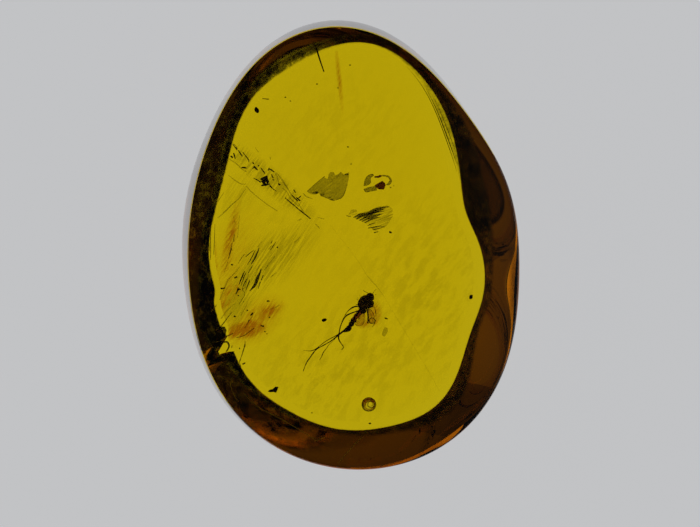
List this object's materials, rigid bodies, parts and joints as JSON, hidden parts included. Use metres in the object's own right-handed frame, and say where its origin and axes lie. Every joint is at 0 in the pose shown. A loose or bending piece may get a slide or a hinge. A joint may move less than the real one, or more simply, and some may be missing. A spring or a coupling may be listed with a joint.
{
  "type": "insect in amber",
  "caption": "Oval pebble of polished clear amber with a flat back, a low dome and a gnat and plant scraps sealed inside.",
  "frame": {"origin": "under the middle of the pebble's outline, on the plane of its flat back", "axes": "+Z out of the domed face, +Y along the pebble towards its narrower end, +X across it"},
  "size_m": [0.0212, 0.0282, 0.0086],
  "materials": {
    "amber": "polished clear amber",
    "chitin": "dark brown insect cuticle",
    "leaf": "thin dry bud scale, olive brown",
    "bark": "dark brown bark and soil grains"
  },
  "bodies": {
    "root": {"amber_lower": "amber", "amber_upper": "amber", "gnat": "chitin", "bud_scale": "leaf", "seed_husk": "bark", "bark_shred": "bark", "bristle": "bark", "curled_flake": "bark", "crumb_seam": "bark", "crumb_left": "bark", "crumb_right": "bark", "crumb_top": "bark", "crumb_low": "bark", "crumb_edge": "bark", "crumb_small": "bark"}
  },
  "joints": []
}
